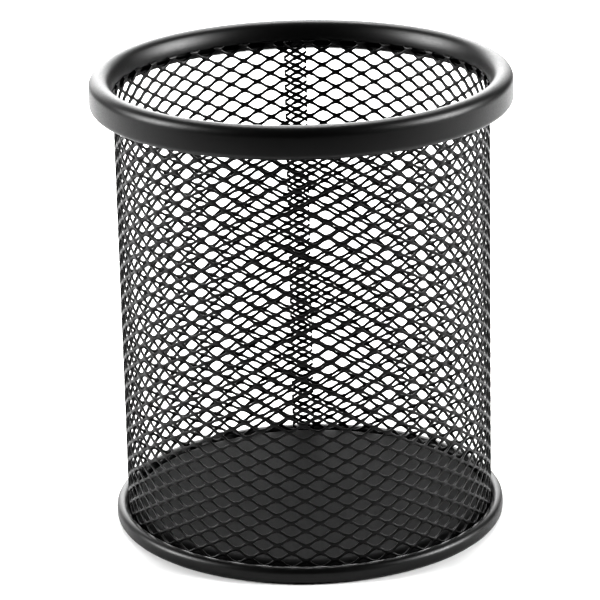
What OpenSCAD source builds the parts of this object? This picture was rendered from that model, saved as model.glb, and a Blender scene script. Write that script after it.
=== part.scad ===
// Expanded-metal desk cup: a rolled mesh sleeve, a rolled rim gripping its top edge,
// and at its foot a raised floor plate inside it and a rolled ring round it.
// The origin is the middle of the face the cup stands on, +Z is up, millimetres.

/* [Cup] */
// Height from the table to the crown of the rim
cup_height = 100; // [80:1:130]
// Outside diameter over the rim
rim_diameter = 90; // [80:1:110]

/* [Mesh sleeve] */
// Thickness of the mesh sheet
sheet = 0.5; // [0.4:0.1:0.6]
// Openings in one turn
cells_round = 18; // [14:1:28]
// Rows of openings, counting the staggered ones between
rows = 21; // [15:2:31]
// Width of a strand between two openings
strand = 1.2; // [0.7:0.05:1.5]
// Overlap of the sheet's two ends at the seam, in openings
lap_cells = 0.5; // [0.3:0.1:0.9]
// Direction of the seam, degrees from +X
seam_at = 92; // [0:1:359]

/* [Rim] */
// How far the rim stands out from the mesh
rim_width = 5; // [4.6:0.1:6]
// Height of the rolled rim
rim_height = 6.9; // [6.6:0.1:8]
// Sheet thickness of the rim
rim_wall = 0.5; // [0.4:0.1:0.6]

/* [Base] */
// How far the base ring stands out from the mesh
ring_width = 2.6; // [2.4:0.1:3.4]
// Height of the base ring
ring_height = 3.6; // [3.4:0.1:5]
// Sheet thickness of the base ring and the floor plate
base_wall = 0.5; // [0.4:0.1:0.6]
// Height of the floor inside the cup, above the table
floor_height = 3.6; // [3.4:0.1:6]
// Outside radius of the floor plate's turned-down edge
floor_bend = 2.6; // [1.2:0.1:2.6]
// How far the base ring's foot reaches inwards under the plate's edge
foot_width = 4; // [3:0.5:8]

/* [Hidden] */

mesh_r = rim_diameter / 2 - rim_width;
inner_r = mesh_r - sheet;
rim_bottom = cup_height - rim_height;

crown_r = 0.44 * rim_width;
crown = [mesh_r + rim_width - crown_r, cup_height - crown_r];
crown_end = 150;
curl_r = 0.26 * rim_width;
curl = [mesh_r + rim_width - curl_r, rim_bottom + curl_r];
curl_start = 250;
upper_lip = cup_height - 4;
lower_lip = curl[1] + curl_r * sin(curl_start)
    + (curl[0] + curl_r * cos(curl_start) - mesh_r) / tan(curl_start - 180);

mesh_top = upper_lip + 0.1;
mesh_bottom = base_wall;
cell_angle = 360 / cells_round;
cell_width = 2 * PI * mesh_r / cells_round;
first_edge = ring_height - 0.9;
last_edge = lower_lip - 0.3;

// A diamond's edges lie half a strand inside the edges of its share of the sheet.
row_guess = (last_edge - first_edge) / (rows + 1);
share = norm([cell_width / 2, row_guess]);
shrink = 1 - strand * share / (cell_width * row_guess);
row_step = (last_edge - first_edge) / (rows - 1 + 2 * shrink);
half_wide = shrink * cell_width / 2;
half_high = shrink * row_step;
first_row = first_edge + half_high;

arc_steps = 12;
bead_r = ring_width / 2;
bead_in = mesh_r + ring_width - bead_r;
plate_bend = [inner_r - floor_bend, floor_height - floor_bend];

// Points of an arc, both ends included.
function arc(centre, r, from, to) =
    [for (i = [0 : arc_steps]) let (t = from + (to - from) * i / arc_steps) centre + r * [cos(t), sin(t)]];

// Where the straight sheet that leaves an arc at angle t, as its tangent, meets the mesh.
function meets_mesh(centre, r, t) = centre[1] + r * sin(t) + (centre[0] + r * cos(t) - mesh_r) / tan(t - 180);

// One side of the rim's sheet, from its lower lip to its upper one; inset is 0 outside, rim_wall inside.
function rim_side(inset) = concat(
    [[mesh_r, meets_mesh(curl, curl_r - inset, curl_start)]],
    arc(curl, curl_r - inset, curl_start, 360),
    arc(crown, crown_r - inset, 0, crown_end),
    [[mesh_r + inset, meets_mesh(crown, crown_r - inset, crown_end) - inset / tan(crown_end - 180)],
     [mesh_r + inset, upper_lip]]
);

// One side of the base ring's sheet, from the end of its foot to its lip on the mesh.
function ring_side(inset) = concat(
    [[mesh_r - foot_width, inset]],
    arc([bead_in, bead_r], bead_r - inset, -90, 0),
    arc([bead_in, ring_height - bead_r], bead_r - inset, 0, 150),
    [[mesh_r + inset, meets_mesh([bead_in, ring_height - bead_r], bead_r - inset, 150) - inset / tan(-30)],
     [mesh_r + inset, ring_height - bead_r - 0.6]]
);

// One side of the floor plate's sheet, from its middle to the edge that stands on the ring's foot.
function plate_side(inset) = concat(
    [[0, floor_height - inset]],
    arc(plate_bend, floor_bend - inset, 90, 0),
    [[inner_r - inset, base_wall]]
);

function reversed(list) = [for (i = [len(list) - 1 : -1 : 0]) list[i]];

module openings(first) {
    rotate([90, 0, 90])
        translate([0, 0, mesh_r - 2])
            linear_extrude(4)
                for (k = [first : 2 : rows - 1])
                    translate([0, first_row + k * row_step])
                        polygon([[-half_wide, 0], [0, -half_high], [half_wide, 0], [0, half_high]]);
}

// One sheet rolled to a tube; its ends overlap on the inside at the seam.
module mesh_sleeve() {
    lap_angle = lap_cells * cell_angle;
    color("#1a1a1c")
        difference() {
            union() {
                rotate_extrude($fn = 192)
                    translate([inner_r, mesh_bottom])
                        square([sheet, mesh_top - mesh_bottom]);
                rotate([0, 0, seam_at - lap_angle / 2])
                    rotate_extrude(angle = lap_angle, $fn = 192)
                        translate([inner_r - sheet, floor_height + 0.4])
                            square([sheet + 0.1, last_edge - floor_height - 0.4]);
            }
            for (i = [0 : cells_round - 1])
                rotate([0, 0, seam_at + i * cell_angle]) openings(0);
            for (i = [0 : cells_round - 1])
                rotate([0, 0, seam_at + (i + 0.5) * cell_angle]) openings(1);
        }
}

// A rolled tube round the mesh's top edge, open towards the mesh between its two lips.
module top_rim() {
    color("#141416")
        rotate_extrude($fn = 192)
            polygon(concat(rim_side(0), reversed(rim_side(rim_wall))));
}

// Flat raised floor whose edge is rounded and turned down inside the mesh, on to the base ring's foot.
module floor_plate() {
    color("#2b2b2e")
        rotate_extrude($fn = 192)
            polygon(concat(plate_side(0), reversed(plate_side(base_wall))));
}

// A rolled bead round the foot of the mesh, with a flat foot turned in under the floor plate.
module base_ring() {
    color("#141416")
        rotate_extrude($fn = 192)
            polygon(concat(ring_side(0), reversed(ring_side(base_wall))));
}

mesh_sleeve();
top_rim();
floor_plate();
base_ring();
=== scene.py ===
"""Looks for the mesh desk cup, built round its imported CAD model. Metres, +Z up, +Y to the back."""

import math

import bmesh
import bpy
import numpy as np
from mathutils import Matrix, Vector


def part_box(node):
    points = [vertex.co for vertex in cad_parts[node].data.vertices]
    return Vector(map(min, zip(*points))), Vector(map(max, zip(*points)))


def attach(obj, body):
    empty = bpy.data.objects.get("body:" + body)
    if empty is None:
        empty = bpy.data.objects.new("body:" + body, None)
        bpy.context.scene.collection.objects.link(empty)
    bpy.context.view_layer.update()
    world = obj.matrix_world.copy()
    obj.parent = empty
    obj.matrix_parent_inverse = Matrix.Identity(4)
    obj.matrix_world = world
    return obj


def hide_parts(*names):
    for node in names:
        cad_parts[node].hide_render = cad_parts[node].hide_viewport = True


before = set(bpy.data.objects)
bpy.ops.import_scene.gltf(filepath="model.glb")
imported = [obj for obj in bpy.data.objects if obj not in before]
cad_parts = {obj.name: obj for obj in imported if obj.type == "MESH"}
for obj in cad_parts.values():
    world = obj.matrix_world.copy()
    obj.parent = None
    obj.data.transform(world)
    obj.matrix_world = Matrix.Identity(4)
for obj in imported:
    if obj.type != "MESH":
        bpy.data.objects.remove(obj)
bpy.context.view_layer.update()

MM = 0.001

# Levels and radii that the CAD parts give, and the thickness of the turned parts' sheet.
CUP_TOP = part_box("top_rim")[1].z
RIM_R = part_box("top_rim")[1].x
RIM_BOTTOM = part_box("top_rim")[0].z
RING_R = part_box("base_ring")[1].x
RING_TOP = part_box("base_ring")[1].z
FLOOR_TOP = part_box("floor_plate")[1].z
PLATE_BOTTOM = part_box("floor_plate")[0].z
PLATE_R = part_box("floor_plate")[1].x
MESH_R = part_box("mesh_sleeve")[1].x
MESH_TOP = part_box("mesh_sleeve")[1].z
WALL = 0.5 * MM
FOOT_CLEARANCE = 0.2 * MM
MESH_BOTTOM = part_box("mesh_sleeve")[0].z + FOOT_CLEARANCE

# The expanded sheet: its openings, the metal left between them, and where the sheet starts
# and ends round the cup. CENTRE_ROW and CENTRE_COLUMN place the middle of one opening.
CELLS_ROUND = 41.44
CELL = 2 * math.pi * MESH_R / CELLS_ROUND
ROW_STEP = 1.6885 * MM
KNUCKLE_LENGTH = 1.6 * MM
KNUCKLE_HEIGHT = 1.0 * MM
SHEET = 0.42 * MM
ROUNDING = 0.1 * MM
TILT = 0.05 * MM
CENTRE_ROW = 44.91 * MM
CENTRE_COLUMN = math.radians(271.0)
STRETCH = math.radians(1.8)
SEAM_START = math.radians(89.85)
SEAM_END = math.radians(457.15)
LAP_GAP = 0.1 * MM
ARC = (-1.0, -0.8, -0.45, 0.0, 0.45, 0.8, 1.0)


def mesh_object(name, points, faces):
    """A smooth-shaded mesh object from points and faces."""
    mesh = bpy.data.meshes.new(name)
    mesh.from_pydata([tuple(p) for p in points], [], [tuple(f) for f in faces])
    mesh.polygons.foreach_set("use_smooth", [True] * len(mesh.polygons))
    mesh.update()
    obj = bpy.data.objects.new(name, mesh)
    bpy.context.scene.collection.objects.link(obj)
    return obj


# ---------------------------------------------------------------- mesh sleeve


def opening_loop(half_wide, half_high):
    """Corner points of one opening: left tip, upper arch, right tip, lower arch."""
    sharpness = 1.2
    heights = [half_high * math.cos(math.pi * t / 2) ** sharpness if abs(t) < 1 else 0.0 for t in ARC]
    upper = [(t * half_wide, z) for t, z in zip(ARC, heights)]
    lower = [(x, -z) for x, z in upper[-2:0:-1]]
    return np.array(upper + lower)


def flat_sheet(columns, rows):
    """The sheet before rolling: x along the turn, y out of the sheet, z up, in metres.
    Each opening has three rings of points, on the outer face, mid-thickness and the inner face."""
    last = len(ARC) - 1
    mid = last // 2
    ring_size = 2 * last
    wide = (CELL - KNUCKLE_LENGTH) / 2
    high = ROW_STEP - KNUCKLE_HEIGHT / 2
    rings = [opening_loop(wide + r, high + r) for r in (ROUNDING, 0, ROUNDING)]
    depth = (SHEET / 2, 0, -SHEET / 2)
    lean = [0.0] + [-TILT] * (last - 1) + [0.0] + [TILT] * (last - 1)

    points, faces = [], []
    first = {}
    for c in range(columns[0], columns[1] + 1):
        for k in range(rows[0], rows[1] + 1):
            if (c + k) % 2:
                continue
            first[c, k] = len(points)
            middle = CENTRE_ROW + k * ROW_STEP
            for ring, d in zip(rings, depth):
                for (x, z), tilt in zip(ring, lean):
                    points.append((c * CELL / 2 + x, d + tilt, middle + z))

    def at(cell, ring, j):
        return first[cell] + ring * ring_size + j % ring_size

    for c, k in first:
        right, left, above = (c + 1, k + 1), (c - 1, k + 1), (c, k + 2)
        for ring in (0, 2):
            for side, other in ((1, right), (-1, left)):
                if other not in first:
                    continue
                tip = 0 if side > 0 else last
                for s in range(mid):
                    faces.append((
                        at((c, k), ring, mid + side * s),
                        at((c, k), ring, mid + side * (s + 1)),
                        at(other, ring, -(tip + side * (s + 1))),
                        at(other, ring, -(tip + side * s)),
                    ))
            if right in first and left in first and above in first:
                faces.append((at((c, k), ring, mid), at(right, ring, 0),
                              at(above, ring, -mid), at(left, ring, last)))
        for j in range(ring_size):
            for ring in (0, 1):
                faces.append((at((c, k), ring, j), at((c, k), ring, j + 1),
                              at((c, k), ring + 1, j + 1), at((c, k), ring + 1, j)))
    return points, faces


def rolled_sleeve():
    """One sheet of expanded metal, cut out and rolled to a tube, its ends overlapping at the seam."""
    start = (SEAM_START - CENTRE_COLUMN) * MESH_R
    end = (SEAM_END - CENTRE_COLUMN) * MESH_R
    columns = (math.floor(2 * start / CELL) - 4, math.ceil(2 * end / CELL) + 4)
    rows = (math.floor((MESH_BOTTOM - CENTRE_ROW) / ROW_STEP) - 3,
            math.ceil((MESH_TOP - CENTRE_ROW) / ROW_STEP) + 3)
    obj = mesh_object("mesh_sleeve_visual", *flat_sheet(columns, rows))

    bm = bmesh.new()
    bm.from_mesh(obj.data)
    for place, outwards in (
        ((start, 0, 0), (-1, 0, 0)),
        ((end, 0, 0), (1, 0, 0)),
        ((0, 0, MESH_BOTTOM), (0, 0, -1)),
        ((0, 0, MESH_TOP), (0, 0, 1)),
    ):
        cut = bmesh.ops.bisect_plane(bm, geom=bm.verts[:] + bm.edges[:] + bm.faces[:], dist=1e-7,
                                     plane_co=place, plane_no=outwards, clear_outer=True)
        edges = [e for e in cut["geom_cut"] if isinstance(e, bmesh.types.BMEdge)]
        bmesh.ops.holes_fill(bm, edges=edges, sides=0)
    bmesh.ops.delete(bm, geom=[v for v in bm.verts if not v.link_faces], context="VERTS")

    # The last stretch of the sheet steps inside its first stretch. Rolling also pulls
    # the openings a little wider on one side than on the other.
    lap = end - start - 2 * math.pi * MESH_R
    step_start = end - lap - CELL
    step_length = 0.9 * CELL
    for v in bm.verts:
        under = min(max((v.co.x - step_start) / step_length, 0), 1)
        under = under * under * (3 - 2 * under)
        radius = MESH_R - SHEET / 2 - TILT + v.co.y - under * (SHEET + LAP_GAP)
        angle = CENTRE_COLUMN + v.co.x / MESH_R
        angle -= STRETCH * math.sin(angle)
        v.co = (radius * math.cos(angle), radius * math.sin(angle), v.co.z)
    bmesh.ops.recalc_face_normals(bm, faces=bm.faces[:])
    if bm.calc_volume(signed=True) < 0:
        bmesh.ops.reverse_faces(bm, faces=bm.faces[:])
    bm.to_mesh(obj.data)
    bm.free()
    obj.data.polygons.foreach_set("use_smooth", [True] * len(obj.data.polygons))
    obj.data.update()
    return obj


# ---------------------------------------------------------------- turned parts


def arc(centre, radius, start, end, steps):
    """Points of an arc in the section plane, angles in degrees."""
    return [(centre[0] + radius * math.cos(math.radians(start + (end - start) * i / steps)),
             centre[1] + radius * math.sin(math.radians(start + (end - start) * i / steps)))
            for i in range(steps + 1)]


def lathe(name, section, segments=256):
    """Turns a closed section of (radius, height) points about the cup's axis."""
    points, faces = [], []
    count = len(section)
    for i in range(segments):
        a = 2 * math.pi * i / segments
        points += [(r * math.cos(a), r * math.sin(a), z) for r, z in section]
        this, after = i * count, (i + 1) % segments * count
        for j in range(count):
            k = (j + 1) % count
            faces.append((this + j, after + j, after + k, this + k))
    obj = mesh_object(name, points, faces)
    bm = bmesh.new()
    bm.from_mesh(obj.data)
    bmesh.ops.remove_doubles(bm, verts=bm.verts, dist=1e-7)
    bmesh.ops.delete(bm, geom=[e for e in bm.edges if not e.link_faces], context="EDGES")
    bmesh.ops.recalc_face_normals(bm, faces=bm.faces[:])
    bm.to_mesh(obj.data)
    bm.free()
    obj.data.set_sharp_from_angle(angle=math.radians(50))
    return obj


def rim():
    """The rolled rim, a bent sheet open towards the mesh between its two lips."""
    crown_r, curl_r = 2.2 * MM, 1.3 * MM
    crown_end, curl_start = 150, 250
    lip_end = CUP_TOP - 4 * MM
    crown = (RIM_R - crown_r, CUP_TOP - crown_r)
    curl = (RIM_R - curl_r, RIM_BOTTOM + curl_r)

    def to_mesh(centre, radius, t, r_end):
        t = math.radians(t)
        r = centre[0] + radius * math.cos(t)
        z = centre[1] + radius * math.sin(t)
        return z + (r - r_end) / math.tan(t - math.pi)

    def side(inset):
        return ([(MESH_R, to_mesh(curl, curl_r - inset, curl_start, MESH_R))]
                + arc(curl, curl_r - inset, curl_start, 360, 10)
                + arc(crown, crown_r - inset, 0, crown_end, 18)
                + [(MESH_R + inset, to_mesh(crown, crown_r - inset, crown_end, MESH_R + inset)),
                   (MESH_R + inset, lip_end)])

    return lathe("top_rim_visual", side(0) + side(WALL)[::-1])


def ring():
    """The rolled bead round the mesh's foot, with its flat foot turned in under the floor plate."""
    bead = 1.3 * MM
    bead_end = 150
    foot_length = 4 * MM
    lip_end = RING_TOP - bead - 0.6 * MM
    low = (RING_R - bead, bead)
    high = (RING_R - bead, RING_TOP - bead)

    def side(inset):
        t = math.radians(bead_end)
        r = high[0] + (bead - inset) * math.cos(t)
        z = high[1] + (bead - inset) * math.sin(t)
        bend = z + (r - MESH_R - inset) / math.tan(t - math.pi)
        return ([(MESH_R - foot_length, inset)]
                + arc(low, bead - inset, -90, 0, 10)
                + arc(high, bead - inset, 0, bead_end, 16)
                + [(MESH_R + inset, bend), (MESH_R + inset, lip_end)])

    return lathe("base_ring_visual", side(0) + side(WALL)[::-1])


def plate():
    """The raised floor: a flat disc whose edge is rounded and turned down to the ring's foot."""
    bend_r = 2.6 * MM
    bend = (PLATE_R - bend_r, FLOOR_TOP - bend_r)

    def side(inset):
        return ([(0, FLOOR_TOP - inset)]
                + arc(bend, bend_r - inset, 90, 0, 14)
                + [(PLATE_R - inset, PLATE_BOTTOM)])

    return lathe("floor_plate_visual", side(0) + side(WALL)[::-1])


# ---------------------------------------------------------------- materials


def powder_coat(name, tone, roughness, specular, grain=0.35 * MM, bump=0.02):
    """Powder coat of one grey tone: fine orange peel, slow colour change and uneven gloss."""
    material = bpy.data.materials.new(name)
    material.use_nodes = True
    nodes, links = material.node_tree.nodes, material.node_tree.links
    shader = nodes["Principled BSDF"]
    shader.inputs["Specular IOR Level"].default_value = specular
    place = nodes.new("ShaderNodeTexCoord")

    broad = nodes.new("ShaderNodeTexNoise")
    broad.inputs["Scale"].default_value = 60.0
    broad.inputs["Detail"].default_value = 4.0
    links.new(place.outputs["Object"], broad.inputs["Vector"])
    colour = nodes.new("ShaderNodeValToRGB")
    for stop, position, shade in zip(colour.color_ramp.elements, (0.3, 0.7), (0.8 * tone, 1.25 * tone)):
        stop.position = position
        stop.color = (shade, shade, shade, 1)
    links.new(broad.outputs["Fac"], colour.inputs["Fac"])
    links.new(colour.outputs["Color"], shader.inputs["Base Color"])

    peel = nodes.new("ShaderNodeTexNoise")
    peel.inputs["Scale"].default_value = 1 / grain
    peel.inputs["Detail"].default_value = 3.0
    peel.inputs["Roughness"].default_value = 0.6
    links.new(place.outputs["Object"], peel.inputs["Vector"])

    gloss = nodes.new("ShaderNodeMapRange")
    gloss.inputs["From Min"].default_value = 0.3
    gloss.inputs["From Max"].default_value = 0.7
    gloss.inputs["To Min"].default_value = roughness - 0.05
    gloss.inputs["To Max"].default_value = roughness + 0.06
    links.new(peel.outputs["Fac"], gloss.inputs["Value"])
    links.new(gloss.outputs["Result"], shader.inputs["Roughness"])

    relief = nodes.new("ShaderNodeBump")
    relief.inputs["Strength"].default_value = 0.5
    relief.inputs["Distance"].default_value = bump * MM
    links.new(peel.outputs["Fac"], relief.inputs["Height"])
    links.new(relief.outputs["Normal"], shader.inputs["Normal"])
    return material


rim_coat = powder_coat("rim_coat", 0.002, 0.40, 0.42)
ring_coat = powder_coat("ring_coat", 0.002, 0.40, 0.4)
strand_coat = powder_coat("strand_coat", 0.002, 0.42, 0.3)
floor_coat = powder_coat("floor_coat", 0.007, 0.62, 0.07)

PIECES = {
    "mesh_sleeve": (rolled_sleeve(), strand_coat),
    "top_rim": (rim(), rim_coat),
    "base_ring": (ring(), ring_coat),
    "floor_plate": (plate(), floor_coat),
}
for node, (piece, coat) in PIECES.items():
    piece.data.materials.append(coat)
    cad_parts[node].data.materials.clear()
    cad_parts[node].data.materials.append(coat)
    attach(piece, "root")
    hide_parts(node)


# ---------------------------------------------------------------- stage, light and camera


def plain(name, value, roughness=0.9):
    """A plain material of one grey for the stage."""
    material = bpy.data.materials.new(name)
    material.use_nodes = True
    shader = material.node_tree.nodes["Principled BSDF"]
    shader.inputs["Base Color"].default_value = (value, value, value, 1)
    shader.inputs["Roughness"].default_value = roughness
    shader.inputs["Specular IOR Level"].default_value = 0.0
    return material


floor = mesh_object("floor", [(-4, -4, 0), (4, -4, 0), (4, 4, 0), (-4, 4, 0)], [(0, 1, 2, 3)])
floor.data.materials.append(plain("floor_white", 0.9))


def softbox(name, place, aim, size, power, spread):
    """A rectangular area light at place, facing aim. Its grid keeps the light within spread degrees."""
    light = bpy.data.lights.new(name, "AREA")
    light.shape = "RECTANGLE"
    light.size, light.size_y = size
    light.energy = power
    light.spread = math.radians(spread)
    obj = bpy.data.objects.new(name, light)
    obj.location = place
    obj.rotation_euler = (Vector(aim) - Vector(place)).to_track_quat("-Z", "Y").to_euler()
    bpy.context.scene.collection.objects.link(obj)


softbox("light_top", (0, 0.85, 1.0), (0, 0.4, 0), (1.6, 0.7), 5.4, 55)
softbox("light_left", (-0.9, 0.45, 0.4), (0, 0.5, 0.0), (1.4, 0.7), 4.2, 45)
softbox("light_right", (0.9, 0.4, 0.4), (0, 0.5, 0.0), (1.4, 0.7), 4.8, 45)
softbox("light_back", (-0.1, 1.4, 0.42), (0, 0.4, 0.0), (2.6, 0.9), 8.5, 80)

world = bpy.data.worlds.new("studio")
world.use_nodes = True
world.node_tree.nodes["Background"].inputs["Color"].default_value = (1, 1, 1, 1)
world.node_tree.nodes["Background"].inputs["Strength"].default_value = 0.01
bpy.context.scene.world = world
bpy.context.scene.view_settings.view_transform = "Standard"
bpy.context.scene.view_settings.look = "High Contrast"

CAMERA_BACK = 0.6629
CAMERA_UP = 0.2776
PITCH = math.radians(19.068)
YAW = math.radians(-0.107)
ROLL = math.radians(-1.30)
LENS = 194.274

forward = Vector((math.sin(YAW) * math.cos(PITCH), math.cos(YAW) * math.cos(PITCH), -math.sin(PITCH)))
level = Vector((math.cos(YAW), -math.sin(YAW), 0))
upright = level.cross(forward)
right = math.cos(ROLL) * level + math.sin(ROLL) * upright
up = math.cos(ROLL) * upright - math.sin(ROLL) * level
camera = bpy.data.objects.new("camera", bpy.data.cameras.new("camera"))
camera.data.sensor_width = 36.0
camera.data.lens = LENS
camera.data.clip_start = 0.01
turn = Matrix((right, up, -forward)).transposed().to_4x4()
camera.matrix_world = Matrix.Translation((0, -CAMERA_BACK, CAMERA_UP)) @ turn
bpy.context.scene.collection.objects.link(camera)
bpy.context.scene.camera = camera

bpy.context.view_layer.update()
